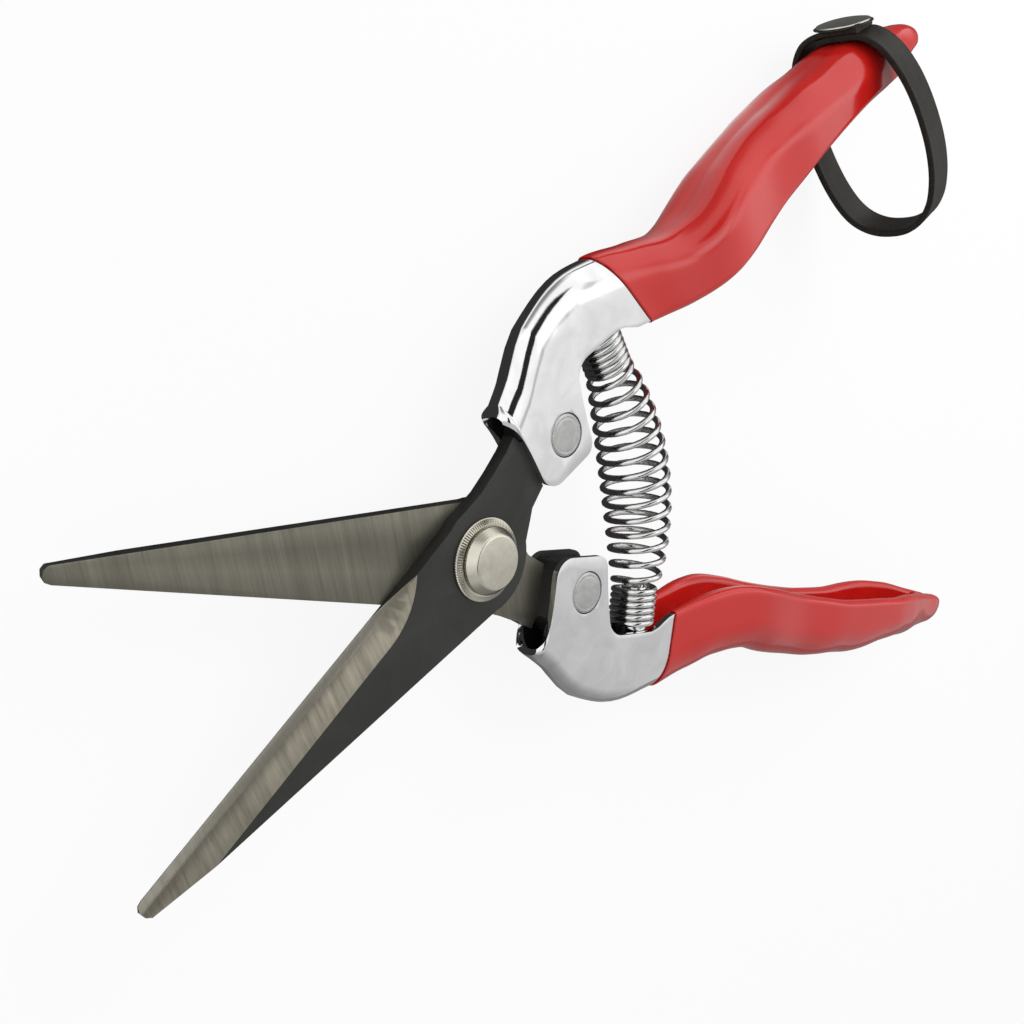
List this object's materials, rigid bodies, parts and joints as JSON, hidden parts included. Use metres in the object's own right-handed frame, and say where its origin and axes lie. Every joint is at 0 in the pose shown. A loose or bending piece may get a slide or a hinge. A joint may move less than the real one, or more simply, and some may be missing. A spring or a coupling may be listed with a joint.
{
  "type": "pruning shears",
  "caption": "Spring-loaded pruning shears: crossed ground blades on a pivot bolt, stamped channel handles with dipped grips, a barrel spring and a riveted wrist strap.",
  "frame": {"origin": "the pivot axis, at the flat end of the pivot bolt on the back of the shears", "axes": "+X bisects the open handles and points to their ends, +Y points to the upper handle, +Z points out of the front, along the pivot axis"},
  "size_m": [0.183, 0.1184, 0.024],
  "materials": {
    "blackened_steel": "black-oxide carbon steel, ground bevels with cross grind lines",
    "bright_chrome": "bright chrome plate on stamped sheet steel",
    "dipped_vinyl": "glossy dipped red vinyl",
    "satin_steel": "satin riveting steel",
    "spring_steel": "bright drawn spring wire",
    "nickel_plate": "warm nickel plate, lightly worn",
    "strap_leather": "smooth black-brown strap leather",
    "black_washer": "blackened steel washer"
  },
  "bodies": {
    "upper": {"front_blade": "blackened_steel", "upper_channel": "bright_chrome", "upper_grip": "dipped_vinyl", "upper_tang_rivet": "satin_steel", "upper_spring_post": "satin_steel", "spring": "spring_steel", "pivot_bolt": "nickel_plate", "toothed_washer": "nickel_plate", "back_washer": "nickel_plate", "pivot_nut": "nickel_plate", "strap_rivet": "satin_steel", "strap_rivet_cap": "nickel_plate", "strap_washer": "black_washer", "strap_rivet_burr": "satin_steel"},
    "lower": {"back_blade": "blackened_steel", "lower_channel": "bright_chrome", "lower_grip": "dipped_vinyl", "lower_tang_rivet": "satin_steel", "lower_spring_post": "satin_steel"},
    "strap_loop": {"strap": "strap_leather"}
  },
  "joints": [
    {"name": "blade_pivot", "type": "hinge", "parent": "upper", "child": "lower", "pos_m": [0, 0, 0.00552], "axis": [0, 0, 1], "range_deg": [0, 38], "stiffness_Nm_per_rad": 1.2, "deforming": ["spring", "strap"]},
    {"name": "strap_swivel", "type": "hinge", "parent": "upper", "child": "strap_loop", "pos_m": [0.09976, 0.05582, 0.00552], "axis": [-0.1191, 0.9929, 0], "range_deg": [-5, 5]}
  ]
}
